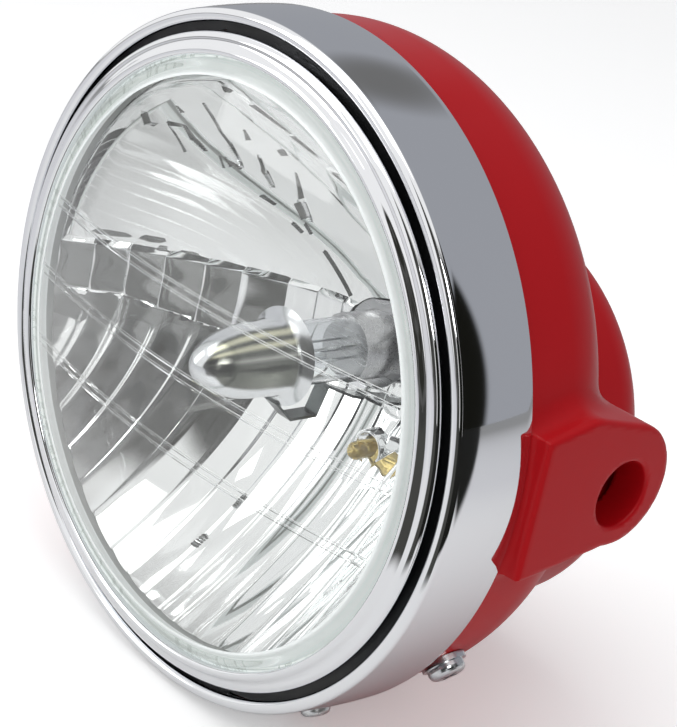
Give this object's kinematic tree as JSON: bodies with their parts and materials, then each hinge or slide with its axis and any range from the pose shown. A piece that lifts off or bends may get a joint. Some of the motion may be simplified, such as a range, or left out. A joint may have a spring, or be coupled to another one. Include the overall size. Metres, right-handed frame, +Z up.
{
  "type": "round motorcycle headlight",
  "caption": "Round motorcycle headlight with a painted bowl shell, bolt ears, a low round back housing, a chrome rim, a faceted reflector and a clear lens.",
  "frame": {"origin": "on the optical axis, midway between the two ear holes", "axes": "+Z up, +X through the ear at the right of the picture, +Y to the rear; the beam leaves along -Y"},
  "size_m": [0.183, 0.1297, 0.176],
  "materials": {
    "red_paint": "high gloss red paint",
    "chrome": "polished chrome plating",
    "black_paint": "satin black paint",
    "rubber": "matt black rubber",
    "lens_clear": "clear polished lens",
    "reflector_coat": "vacuum-coated mirror over moulded plastic",
    "cap_chrome": "polished chrome plating",
    "bulb_glass": "clear glass",
    "bulb_metal": "satin pressed steel",
    "brass": "bright brass",
    "zinc": "clear zinc plating"
  },
  "bodies": {
    "root": {"housing": "red_paint", "outer_rim": "chrome", "rim_gasket": "rubber", "inner_ring": "chrome", "carrier_ring": "black_paint", "lens": "lens_clear", "lens_seal": "rubber", "reflector": "reflector_coat", "shield_cap": "cap_chrome", "shield_rivet": "brass", "bulb_glass": "bulb_glass", "bulb_filaments": "brass", "bulb_base": "bulb_metal", "bulb_terminals": "brass", "bulb_clip": "zinc", "clip_screw": "zinc", "dust_boot": "rubber", "position_bulb": "bulb_glass", "position_holder": "rubber", "rim_brackets": "zinc", "bracket_rivets": "zinc", "bracket_nuts": "zinc", "top_hook": "zinc", "rim_screws": "zinc", "rim_washers": "zinc", "side_screws": "zinc", "side_screw_nuts": "zinc", "cable_grommet": "rubber"}
  },
  "joints": []
}
